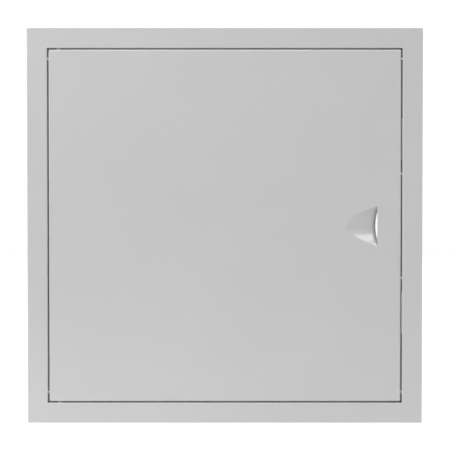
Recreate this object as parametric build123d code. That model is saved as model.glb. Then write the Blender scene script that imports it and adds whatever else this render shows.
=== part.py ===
from build123d import *
import os

# Square steel access panel for a wall: a folded frame with a flush, side-hung door.
# X runs to the right, Y into the wall and Z up, all in millimetres.
# The origin is the centre of the panel on the wall plane, the back of the flange.

# Frame, folded from one sheet: flange, web and back lip
panel_width = 400.0
panel_height = 400.0
flange_width = 20.5
frame_sheet = 1.2
frame_depth = 30.0
frame_lip = 12.0
frame_fold = 1.5
flange_corner = 1.0
flange_edge = 0.4

# Screw holes and narrow anchor slots through the webs beside the door
fixing_radius = 2.5
fixing_spacing = 260.0
fixing_setback = 22.5
anchor_inset = 10.0
anchor_spacing = 106.0
anchor_width = 1.6
anchor_start = 2.5
anchor_length = 23.0

# Door, one folded tray that closes flush with the flange
door_gap = 1.25
door_sheet = 1.0
door_depth = 18.0
door_lip = 12.0
door_fold = 1.5

# Finger scoop lanced and pressed into the door
scoop_edge = 23.9
scoop_length = 31.3
scoop_radius = 30.6
scoop_slope = 13.0
scoop_tuck = 3.0
scoop_lean = 26.6
scoop_round = 3.0
scoop_roll_run = 5.0
scoop_roll_radius = 6.0
scoop_roll_turn = 50.0

# Pivot pins, washers and stiffening plates at the left corners
pivot_inset = 10.0
pivot_setback = 5.0
pin_radius = 1.5
pin_play = 0.05
pin_seat_play = 0.02
pin_chamfer = 0.3
pin_head_radius = 3.2
pin_head_height = 1.6
washer_radius = 2.4
washer_play = 0.1
plate_length = 28.0
plate_width = 11.5
plate_sheet = 2.0
plate_corner = 2.0
plate_play = 0.6

# Two magnetic catches on the right jamb
catch_length = 42.0
catch_spacing = 176.0
catch_sheet = 0.6
catch_fold = 1.0
catch_front = 1.7
catch_width = 10.0
catch_round = 1.0
catch_play = 0.3
pole_reach = 0.5
pole_sheet = 1.2
pole_length = 30.0
magnet_sheet = 3.2
magnet_depth = 7.5

# Sizes that follow from the ones above
opening_width = panel_width - 2 * flange_width
opening_height = panel_height - 2 * flange_width
door_width = opening_width - 2 * door_gap
door_height = opening_height - 2 * door_gap
door_front = -frame_sheet
door_back = door_front + door_depth
door_right = door_width / 2
lip_front = frame_depth - frame_sheet
pivot_x = -door_width / 2 + pivot_inset
pivot_y = door_front + pivot_setback
bearing_radius = pin_radius + pin_play
seat_radius = pin_radius + pin_seat_play


def corner_at(sketch, x, y):
    return sketch.vertices().sort_by_distance((x, y, 0))[0]


def folded_profile(points, bends, sheet, fold):
    """A folded sheet's section, with each bend given as an inside and an outside corner."""
    section = make_face(Polyline(*points, close=True))
    for inside, outside in bends:
        section = fillet(corner_at(section, *outside), fold)
        section = fillet(corner_at(section, *inside), fold - sheet)
    return section


def ring_path(width, height):
    """A rectangle in the wall plane that starts halfway along its lower side."""
    x = width / 2
    z = height / 2
    return Polyline(
        (0, 0, -z), (x, 0, -z), (x, 0, z), (-x, 0, z), (-x, 0, -z), (0, 0, -z)
    ).wire()


# Frame section: u runs outwards from the opening's edge, v into the wall
s = frame_sheet
frame_section = folded_profile(
    [
        (0, -s),
        (flange_width, -s),
        (flange_width, 0),
        (s, 0),
        (s, frame_depth),
        (-frame_lip, frame_depth),
        (-frame_lip, lip_front),
        (0, lip_front),
    ],
    [((s, 0), (0, -s)), ((0, lip_front), (s, frame_depth))],
    frame_sheet,
    frame_fold,
)
section_plane = Plane(
    origin=(0, 0, -opening_height / 2), x_dir=(0, 0, -1), z_dir=(1, 0, 0)
)
frame = sweep(
    section_plane * frame_section,
    path=ring_path(opening_width, opening_height),
    transition=Transition.RIGHT,
)

# Outer corners of the flange and its softened front edge
flange_corners = [
    e
    for e in frame.edges().filter_by(Axis.Y)
    if abs(abs(e.center().X) - panel_width / 2) < 0.01
    and abs(abs(e.center().Z) - panel_height / 2) < 0.01
]
frame = fillet(flange_corners, flange_corner)
front_edges = [
    e
    for e in frame.edges()
    if abs(e.center().Y + frame_sheet) < 0.001
    and max(
        abs(e.center().X) - panel_width / 2, abs(e.center().Z) - panel_height / 2
    )
    > -flange_corner
]
frame = fillet(front_edges, flange_edge)

# Screw holes, two in each jamb
for side in (-1, 1):
    for level in (-1, 1):
        web_x = side * (opening_width + frame_sheet) / 2
        spot = Plane(
            origin=(web_x, fixing_setback, level * fixing_spacing / 2),
            z_dir=(1, 0, 0),
        )
        frame -= spot * Cylinder(fixing_radius, 4 * frame_sheet)

# Anchor slots near the corners of both jambs, and two more on the right one
anchor_z = opening_height / 2 - anchor_inset
anchor_middle = anchor_start + anchor_length / 2
anchor_shape = Rot(0, 90, 0) * extrude(
    SlotOverall(anchor_length, anchor_width, rotation=90), 2 * frame_sheet, both=True
)
anchor_places = [(side, level * anchor_z) for side in (-1, 1) for level in (-1, 1)]
anchor_places += [(1, level * anchor_spacing / 2) for level in (-1, 1)]
for side, place in anchor_places:
    web_x = side * (opening_width + frame_sheet) / 2
    frame -= Pos(web_x, anchor_middle, place) * anchor_shape


# Door tray: a shell with rolled folds and a lip turned in round its open back
def rounded_block(width, depth, height, radius):
    block = Box(width, depth, height)
    return fillet(block.edges(), radius)


door_middle = door_front + door_depth / 2
outside = rounded_block(door_width, door_depth, door_height, door_fold)
inside = rounded_block(
    door_width - 2 * door_sheet,
    door_depth - 2 * door_sheet,
    door_height - 2 * door_sheet,
    door_fold - door_sheet,
)
window = Box(
    door_width - 2 * door_lip,
    4 * door_sheet,
    door_height - 2 * door_lip,
)
tray = Pos(0, door_middle, 0) * (outside - inside)
tray -= Pos(0, door_back, 0) * window

# Finger scoop: a tilted half-round trough that runs in from the face to an open mouth,
# where its floor rolls over backwards
chord_x = door_right - scoop_edge
scoop_tip = Vector(chord_x - scoop_length, door_front, 0)
along = Vector(1, 0, 0).rotate(Axis.Z, scoop_slope)
upward = Vector(0, -1, 0).rotate(Axis.Z, scoop_slope)
scoop_axis = scoop_tip + upward * scoop_radius
reach = 2 * scoop_length
straight_run = (scoop_length - scoop_roll_run) / along.X
roll_start = scoop_axis + along * straight_run
roll_centre = roll_start - upward * (scoop_radius + scoop_roll_radius)


def trough_solid(radius):
    """The straight trough of this radius, with its rolled end."""
    disc = Plane(origin=roll_start, z_dir=along) * Circle(radius)
    straight = extrude(disc, -reach)
    roll = revolve(disc, Axis(roll_centre, (0, 0, 1)), scoop_roll_turn)
    return straight + roll


hollow = trough_solid(scoop_radius)
skin = trough_solid(scoop_radius + door_sheet)
behind = Pos(0, door_front + reach / 2, 0) * Box(door_width, reach, door_height)
mouth = Plane(
    origin=(chord_x + scoop_tuck, door_front, 0),
    x_dir=Vector(1, 0, 0).rotate(Axis.Z, scoop_lean),
    z_dir=(0, 0, 1),
)
left_side = Box(
    2 * reach, 4 * reach, door_height, align=(Align.MAX, Align.CENTER, Align.CENTER)
)
trough = (skin & behind & (mouth * left_side)) - hollow
tray = (tray - (hollow & (Pos(chord_x, 0, 0) * left_side))) + trough
scoop_rim = [
    e
    for e in tray.edges()
    if abs(e.bounding_box().min.Y - door_front) < 0.001
    and abs(e.bounding_box().max.Y - door_front) < 0.001
    and scoop_tip.X - 1 < e.center().X < chord_x - 0.01
    and e.geom_type != GeomType.LINE
]
tray = fillet(scoop_rim, scoop_round)

# Pivot holes through the tray's upper and lower returns
for level in (-1, 1):
    spot = Pos(pivot_x, pivot_y, level * door_height / 2)
    tray -= spot * Cylinder(seat_radius, 4 * door_sheet)
door_panel = tray


# Pivot pieces, made for the upper corner and mirrored for the lower one.
# A headed pin stands up through plate, return and washer and runs in the frame's web.
web_top = opening_height / 2 + frame_sheet
return_inner = door_height / 2 - door_sheet
plate_bottom = return_inner - plate_sheet
pivot = Pos(pivot_x, pivot_y, 0)

for level in (-1, 1):
    spot = Pos(pivot_x, pivot_y, level * (opening_height + frame_sheet) / 2)
    frame -= spot * Cylinder(bearing_radius, 4 * frame_sheet)

pin_length = web_top - plate_bottom
shank = Cylinder(
    pin_radius, pin_length, align=(Align.CENTER, Align.CENTER, Align.MIN)
)
shank = chamfer(shank.edges().sort_by(Axis.Z)[-1], pin_chamfer)
head = Cylinder(
    pin_head_radius, pin_head_height, align=(Align.CENTER, Align.CENTER, Align.MAX)
)
head = fillet(head.edges().sort_by(Axis.Z)[0], pin_head_height / 2.5)
pin_top = pivot * Pos(0, 0, plate_bottom) * (shank + head)

washer = Cylinder(washer_radius, door_gap - washer_play) - Cylinder(
    bearing_radius, 2 * door_gap
)
washer_z = opening_height / 2 - (door_gap - washer_play) / 2
washer_top = pivot * Pos(0, 0, washer_z) * washer

plate_left = -door_width / 2 + door_sheet + plate_play
plate_front = door_front + door_sheet + plate_play
plate_shape = RectangleRounded(plate_length, plate_width, plate_corner)
plate_centre = Pos(
    plate_left + plate_length / 2, plate_front + plate_width / 2, plate_bottom
)
plate_top = extrude(plate_centre * plate_shape, plate_sheet)
plate_top -= pivot * Pos(0, 0, plate_bottom) * Cylinder(
    seat_radius, 4 * plate_sheet
)

# Magnetic catch at the middle height, copied up and down the right jamb
web_face = opening_width / 2
heel = web_face - catch_sheet
toe = heel - catch_width
plate_section = folded_profile(
    [
        (web_face, door_front + catch_front),
        (web_face, lip_front),
        (toe, lip_front),
        (toe, lip_front - catch_sheet),
        (heel, lip_front - catch_sheet),
        (heel, door_front + catch_front),
    ],
    [((heel, lip_front - catch_sheet), (web_face, lip_front))],
    catch_sheet,
    catch_fold,
)
catch_plate = extrude(plate_section, catch_length / 2, both=True)

pole_front = door_back + catch_play
housing_front = pole_front + pole_reach
housing_back = lip_front - catch_sheet
housing_x = web_face - catch_sheet - catch_width / 2
housing_depth = housing_back - housing_front
housing_middle = Pos(housing_x, housing_front + housing_depth / 2, 0)
housing = Box(catch_width, housing_depth, catch_length)
front_rim = housing.faces().sort_by(Axis.Y)[0].edges()
housing = fillet(front_rim, catch_round)
heel_edge = housing.edges().filter_by(Axis.Z).sort_by(lambda e: e.center().X + e.center().Y)[-1]
housing = fillet(heel_edge, catch_fold - catch_sheet)
housing = housing_middle * housing
pocket_width = magnet_sheet + 2 * pole_sheet
pocket = Pos(housing_x, housing_front, 0) * Box(
    pocket_width, 2 * magnet_depth, pole_length
)
catch_housing = housing - pocket

magnet_front = Pos(housing_x, housing_front, 0)
front_align = (Align.CENTER, Align.MIN, Align.CENTER)
catch_magnet = magnet_front * Box(
    magnet_sheet, magnet_depth, pole_length, align=front_align
)
pole = Box(pole_sheet, magnet_depth + pole_reach, pole_length, align=front_align)
pole_step = (magnet_sheet + pole_sheet) / 2
catch_poles = Compound(
    [
        Pos(housing_x + side * pole_step, pole_front, 0) * pole
        for side in (-1, 1)
    ]
)

# Node names and their solids
nodes = {
    "frame": frame,
    "door_panel": door_panel,
    "pivot_pin_top": pin_top,
    "pivot_pin_bottom": mirror(pin_top, Plane.XY),
    "pivot_washer_top": washer_top,
    "pivot_washer_bottom": mirror(washer_top, Plane.XY),
    "pivot_plate_top": plate_top,
    "pivot_plate_bottom": mirror(plate_top, Plane.XY),
}
for place, level in (("upper", 1), ("lower", -1)):
    shift = Pos(0, 0, level * catch_spacing / 2)
    nodes[f"catch_plate_{place}"] = shift * catch_plate
    nodes[f"catch_housing_{place}"] = shift * catch_housing
    nodes[f"catch_magnet_{place}"] = shift * catch_magnet
    nodes[f"catch_poles_{place}"] = shift * catch_poles

os.makedirs("parts", exist_ok=True)
for name, shape in nodes.items():
    export_step(shape, f"parts/{name}.step")
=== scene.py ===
import math

import bpy
from mathutils import Matrix, Vector


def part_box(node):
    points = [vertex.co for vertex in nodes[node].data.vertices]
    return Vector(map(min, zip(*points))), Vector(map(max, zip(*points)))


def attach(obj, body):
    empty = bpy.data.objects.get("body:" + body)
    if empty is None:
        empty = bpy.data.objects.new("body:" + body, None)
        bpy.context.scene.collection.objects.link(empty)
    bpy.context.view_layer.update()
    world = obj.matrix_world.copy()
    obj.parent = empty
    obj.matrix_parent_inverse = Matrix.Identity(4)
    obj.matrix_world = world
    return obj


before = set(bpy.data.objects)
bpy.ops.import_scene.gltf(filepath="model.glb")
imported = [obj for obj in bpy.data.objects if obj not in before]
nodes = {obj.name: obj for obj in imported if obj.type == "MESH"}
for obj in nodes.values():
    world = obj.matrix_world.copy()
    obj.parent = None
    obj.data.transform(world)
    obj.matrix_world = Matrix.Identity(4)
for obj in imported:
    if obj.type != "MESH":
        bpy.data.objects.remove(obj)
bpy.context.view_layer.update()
MM = 0.001


# Node helpers

def new_material(name):
    """A node material, its tree and its main shader."""
    material = bpy.data.materials.new(name)
    material.use_nodes = True
    tree = material.node_tree
    tree.nodes.clear()
    output = tree.nodes.new("ShaderNodeOutputMaterial")
    shader = tree.nodes.new("ShaderNodeBsdfPrincipled")
    tree.links.new(shader.outputs["BSDF"], output.inputs["Surface"])
    return material, tree, shader


def noise(tree, scale, detail=2.0):
    """Noise on the piece's own coordinates; scale is in waves per metre."""
    place = tree.nodes.new("ShaderNodeTexCoord")
    node = tree.nodes.new("ShaderNodeTexNoise")
    node.inputs["Scale"].default_value = scale
    node.inputs["Detail"].default_value = detail
    tree.links.new(place.outputs["Object"], node.inputs["Vector"])
    return node.outputs["Fac"]


def ramp(tree, value, low, high):
    """Spreads a value near a half over the range from low to high."""
    node = tree.nodes.new("ShaderNodeMapRange")
    node.inputs["From Min"].default_value = 0.25
    node.inputs["From Max"].default_value = 0.75
    node.inputs["To Min"].default_value = low
    node.inputs["To Max"].default_value = high
    tree.links.new(value, node.inputs["Value"])
    return node.outputs["Result"]


def tint(tree, value, dark, light):
    """A colour between dark and light, by a value near a half."""
    node = tree.nodes.new("ShaderNodeMix")
    node.data_type = "RGBA"
    node.inputs["A"].default_value = (*dark, 1)
    node.inputs["B"].default_value = (*light, 1)
    tree.links.new(ramp(tree, value, 0, 1), node.inputs["Factor"])
    return node.outputs["Result"]


def bump(tree, height, depth, under=None):
    """Bump of this depth in metres, on top of another one where there is one."""
    node = tree.nodes.new("ShaderNodeBump")
    node.inputs["Strength"].default_value = 1.0
    node.inputs["Distance"].default_value = depth
    tree.links.new(height, node.inputs["Height"])
    if under is not None:
        tree.links.new(under, node.inputs["Normal"])
    return node.outputs["Normal"]


# Materials

def grey_paint():
    """Smooth powder paint: faint clouds, a slow wave of the sheet and fine orange peel."""
    material, tree, shader = new_material("grey_paint")
    cloud = noise(tree, 9.0, detail=3.0)
    colour = tint(tree, cloud, dark=(0.535, 0.535, 0.537), light=(0.552, 0.552, 0.553))
    tree.links.new(colour, shader.inputs["Base Color"])
    tree.links.new(ramp(tree, noise(tree, 40.0), 0.33, 0.39), shader.inputs["Roughness"])
    shader.inputs["Coat Weight"].default_value = 1.0
    shader.inputs["Coat Roughness"].default_value = 0.15
    wave = bump(tree, noise(tree, 8.0, detail=1.0), depth=0.4 * MM)
    peel = bump(tree, noise(tree, 900.0, detail=1.0), depth=0.02 * MM, under=wave)
    tree.links.new(peel, shader.inputs["Normal"])
    return material


def zinc():
    """Plated steel with a fine uneven grain."""
    material, tree, shader = new_material("zinc")
    shader.inputs["Metallic"].default_value = 1.0
    grain = noise(tree, 700.0, detail=3.0)
    colour = tint(tree, grain, dark=(0.52, 0.53, 0.55), light=(0.66, 0.67, 0.68))
    tree.links.new(colour, shader.inputs["Base Color"])
    tree.links.new(ramp(tree, noise(tree, 300.0), 0.28, 0.45), shader.inputs["Roughness"])
    tree.links.new(bump(tree, grain, depth=0.02 * MM), shader.inputs["Normal"])
    return material


def moulded(name, dark, light, grain_scale, grain_depth, roughness):
    """A moulded or pressed material with a fine grain; roughness is its lowest and highest value."""
    material, tree, shader = new_material(name)
    tree.links.new(tint(tree, noise(tree, 60.0), dark, light), shader.inputs["Base Color"])
    grain = noise(tree, grain_scale)
    tree.links.new(ramp(tree, grain, *roughness), shader.inputs["Roughness"])
    tree.links.new(bump(tree, grain, grain_depth), shader.inputs["Normal"])
    return material


materials = {
    "grey_paint": grey_paint(),
    "zinc": zinc(),
    "nylon": moulded(
        "nylon", dark=(0.70, 0.69, 0.64), light=(0.78, 0.77, 0.73),
        grain_scale=900.0, grain_depth=0.03 * MM, roughness=(0.40, 0.55),
    ),
    "white_plastic": moulded(
        "white_plastic", dark=(0.74, 0.74, 0.72), light=(0.80, 0.80, 0.78),
        grain_scale=1500.0, grain_depth=0.03 * MM, roughness=(0.38, 0.52),
    ),
    "ferrite": moulded(
        "ferrite", dark=(0.035, 0.034, 0.036), light=(0.060, 0.058, 0.060),
        grain_scale=1200.0, grain_depth=0.05 * MM, roughness=(0.6, 0.8),
    ),
}
for node in nodes.values():
    slot = node.data.materials[0].name.split(".")[0]
    node.data.materials[0] = materials[slot]


# Helpers for the small pieces, in millimetres

turned_steps = 40
bead_rows = 96
bead_steps = 14
bead_sink = 0.05
bead_lag = 0.35
bead_end_power = 8
bead_end_share = 0.02
ripple_count = 9
ripple_share = 0.14
ripple_drift = 0.6
ripple_drift_rate = 17
waver_share = 0.04
waver_rate = 11


def box_mm(node):
    """A node's lowest and highest corners in millimetres."""
    low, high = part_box(node)
    return low / MM, high / MM


def add_piece(name, rings, body, slot):
    """A skin over closed rings that all have the same count of points, with its two ends capped."""
    count = len(rings[0])
    points = [tuple(point * MM) for ring in rings for point in ring]
    faces = []
    for row in range(len(rings) - 1):
        low = row * count
        high = low + count
        for step in range(count):
            after = (step + 1) % count
            faces.append((low + step, low + after, high + after, high + step))
    last = (len(rings) - 1) * count
    faces.append(tuple(reversed(range(count))))
    faces.append(tuple(range(last, last + count)))
    mesh = bpy.data.meshes.new(name)
    mesh.from_pydata(points, [], faces)
    mesh.shade_smooth()
    mesh.materials.append(materials[slot])
    piece = bpy.data.objects.new(name, mesh)
    bpy.context.scene.collection.objects.link(piece)
    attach(piece, body)


def turned(name, profile, seat, out, body, slot):
    """A turned piece on a seat point, its axis along out; the profile is radius and height pairs."""
    out = Vector(out)
    side = out.orthogonal().normalized()
    across = out.cross(side)
    rings = []
    for radius, height in profile:
        ring = []
        for step in range(turned_steps):
            angle = 2 * math.pi * step / turned_steps
            spoke = side * math.cos(angle) + across * math.sin(angle)
            ring.append(Vector(seat) + spoke * radius + out * height)
        rings.append(ring)
    add_piece(name, rings, body, slot)


def corner_weld(name, corner, half, back, insets, width, height, body):
    """A rippled half-round bead on a back face, along the mitre of a corner that is half from the middle."""
    start, end = (Vector(corner) * (half - inset) + Vector((0, back, 0)) for inset in insets)
    run = end - start
    along = run.normalized()
    out = Vector((0, 1, 0))
    across = out.cross(run).normalized()
    rings = []
    for row in range(bead_rows + 1):
        part = row / bead_rows
        taper = math.sqrt(max(0.0, 1 - abs(2 * part - 1) ** bead_end_power)) + bead_end_share
        drift = ripple_drift * math.sin(ripple_drift_rate * part)
        ripple = 1 + ripple_share * math.sin(2 * math.pi * ripple_count * part + drift)
        waver = waver_share * width * math.sin(waver_rate * part)
        ring = []
        for step in range(bead_steps + 1):
            angle = math.pi * step / bead_steps
            sideways = across * (math.cos(angle) * width / 2 * taper + waver)
            bow = out * (math.sin(angle) * height * ripple * taper - bead_sink)
            lag = along * (bead_lag * math.sin(angle))
            ring.append(start + run * part + sideways + bow + lag)
        rings.append(ring)
    add_piece(name, rings, body, "grey_paint")


# Rivet heads of the catches, on the right web's outer face and on the lip's back

rivet_profile = [
    (3.1, -0.05), (3.2, 0.05), (3.2, 0.22), (3.05, 0.38), (2.6, 0.66), (2.1, 0.88), (1.6, 1.02),
    (1.2, 1.07), (1.02, 1.02), (0.95, 0.9), (0.92, 0.55), (0.85, 0.48), (0.3, 0.44), (0.02, 0.44),
]
frame_sheet = 1.2
web_rivet_depth = 22.5
web_rivet_offset = 14.0
lip_rivet_offset = 10.0
frame_back = box_mm("frame")[1].y
web_face = box_mm("catch_plate_upper")[1].x + frame_sheet
for place in ("upper", "lower"):
    low, high = box_mm(f"catch_housing_{place}")
    middle = (low + high) / 2
    for number, way in enumerate((1, -1), 1):
        seat = (web_face, web_rivet_depth, middle.z + way * web_rivet_offset)
        turned(f"web_rivet_{place}_{number}", rivet_profile, seat, (1, 0, 0), "frame", "zinc")
    for number, way in enumerate((1, -1), 1):
        seat = (middle.x, frame_back, middle.z + way * lip_rivet_offset)
        turned(f"lip_rivet_{place}_{number}", rivet_profile, seat, (0, 1, 0), "frame", "zinc")


# Weld beads on the back corners of the frame and of the door's tray

frame_weld_insets = (12.3, 1.1)
frame_weld_width = 3.0
frame_weld_height = 0.7
door_weld_insets = (11.05, 1.25)
door_weld_width = 2.4
door_weld_height = 0.5
door_corner = box_mm("door_panel")[1]
for across, side in ((1, "right"), (-1, "left")):
    for up, place in ((1, "upper"), (-1, "lower")):
        corner_weld(
            f"frame_weld_{place}_{side}", (across, 0, up), web_face, frame_back,
            frame_weld_insets, frame_weld_width, frame_weld_height, "frame",
        )
        corner_weld(
            f"door_weld_{place}_{side}", (across, 0, up), door_corner.x, door_corner.y,
            door_weld_insets, door_weld_width, door_weld_height, "door",
        )


# Spot welds on the pivot plates, on the face towards the middle of the door

spot_profile = [
    (2.9, -0.03), (2.75, 0.03), (2.45, 0.12), (2.2, 0.16), (1.95, 0.12), (1.6, 0.05),
    (1.0, 0.035), (0.4, 0.03), (0.02, 0.03),
]
spot_insets = (11.35, 3.85)
spot_setback = 5.8
for up, place, plate in ((1, "upper", "pivot_plate_top"), (-1, "lower", "pivot_plate_bottom")):
    low, high = box_mm(plate)
    face = low.z if up > 0 else high.z
    for number, inset in enumerate(spot_insets, 1):
        seat = (high.x - inset, low.y + spot_setback, face)
        turned(f"spot_weld_{place}_{number}", spot_profile, seat, (0, 0, -up), "door", "grey_paint")


# Floor, in metres like the rest of the stage

floor_level = -0.60
floor_half = 12.0
floor_mesh = bpy.data.meshes.new("floor")
floor_mesh.from_pydata(
    [
        (-floor_half, -floor_half, floor_level),
        (floor_half, -floor_half, floor_level),
        (floor_half, floor_half, floor_level),
        (-floor_half, floor_half, floor_level),
    ],
    [],
    [(0, 1, 2, 3)],
)
floor = bpy.data.objects.new("floor", floor_mesh)
bpy.context.scene.collection.objects.link(floor)
floor_material, floor_tree, floor_shader = new_material("floor")
floor_shader.inputs["Base Color"].default_value = (0.72, 0.72, 0.72, 1)
floor_shader.inputs["Roughness"].default_value = 0.9
floor_mesh.materials.append(floor_material)


# Surroundings: their radiance grows from in front of the panel to behind it

front_glow = 0.3
back_glow = 1.06
glow_start = -0.1
glow_end = 0.4
world = bpy.data.worlds.new("studio")
world.use_nodes = True
bpy.context.scene.world = world
sky = world.node_tree
direction = sky.nodes.new("ShaderNodeTexCoord")
parts = sky.nodes.new("ShaderNodeSeparateXYZ")
glow = sky.nodes.new("ShaderNodeMapRange")
glow.interpolation_type = "SMOOTHSTEP"
glow.inputs["From Min"].default_value = glow_start
glow.inputs["From Max"].default_value = glow_end
glow.inputs["To Min"].default_value = front_glow
glow.inputs["To Max"].default_value = back_glow
sky.links.new(direction.outputs["Generated"], parts.inputs["Vector"])
sky.links.new(parts.outputs["Y"], glow.inputs["Value"])
background = sky.nodes["Background"]
background.inputs["Color"].default_value = (1, 1, 1, 1)
sky.links.new(glow.outputs["Result"], background.inputs["Strength"])


# Lights: the scoop mirrors the key, the rims catch the folds' edges, and the sweep lights the floor behind

def softbox(name, place, size, radiance, aim=(0, 0, 0), tall=(0, 0, 1), spread=180):
    """A soft rectangular light, not itself seen, that faces a point; its height runs along tall."""
    width, height = size
    data = bpy.data.lights.new(name, "AREA")
    data.shape = "RECTANGLE"
    data.size = width
    data.size_y = height
    data.energy = radiance * math.pi * width * height
    data.spread = math.radians(spread)
    light = bpy.data.objects.new(name, data)
    bpy.context.scene.collection.objects.link(light)
    back = (Vector(place) - Vector(aim)).normalized()
    side = Vector(tall).cross(back).normalized()
    turn = Matrix((side, back.cross(side), back)).transposed().to_4x4()
    light.matrix_world = Matrix.Translation(place) @ turn
    light.visible_camera = False


softbox(
    "key", (2.124, -2.76, 2.795), size=(2.0, 1.8), radiance=4.1,
    aim=(0.14, 0, 0), tall=(-0.149, 0.648, 0.747),
)
softbox("front_low", (0, -1.7, -0.4), size=(2.0, 0.3), radiance=0.49)
softbox("low_left", (-0.25, -0.18, -0.36), size=(0.3, 0.1), radiance=1.3, aim=(-0.15, 0, -0.2))
softbox("top_left", (-0.5, -0.4, 0.55), size=(0.5, 0.3), radiance=2.4, aim=(-0.1, 0, 0.1))
softbox("top_wide", (-0.6, -1.8, 3.0), size=(3.6, 1.2), radiance=2.25)
softbox("top_side", (-2.6, -1.8, 2.8), size=(1.8, 1.4), radiance=2.5)
softbox("left_rim", (-3.0, -0.5, 1.4), size=(0.6, 2.0), radiance=8.5)
softbox("top_rim", (-0.4, -0.5, 3.0), size=(2.4, 0.6), radiance=3.0, tall=(0, 1, 0))
softbox(
    "sweep", (0, 7.2, 3.0), size=(14.0, 11.0), radiance=0.95,
    aim=(0, 7.2, 0), tall=(0, 1, 0), spread=80,
)


# Camera

camera_distance = 2.0
camera_elevation = math.radians(1.95)
view_width = 0.4556
sensor_width = 36.0
target = Vector((0.12, -1.2, 1.0)) * MM
camera_data = bpy.data.cameras.new("camera")
camera = bpy.data.objects.new("camera", camera_data)
bpy.context.scene.collection.objects.link(camera)
back = Vector((0, -math.cos(camera_elevation), math.sin(camera_elevation)))
camera.location = target + back * camera_distance
camera.rotation_euler = (math.radians(90) - camera_elevation, 0, 0)
camera_data.sensor_width = sensor_width
camera_data.lens = sensor_width * camera_distance / view_width
bpy.context.scene.camera = camera
bpy.context.scene.view_settings.view_transform = "Standard"
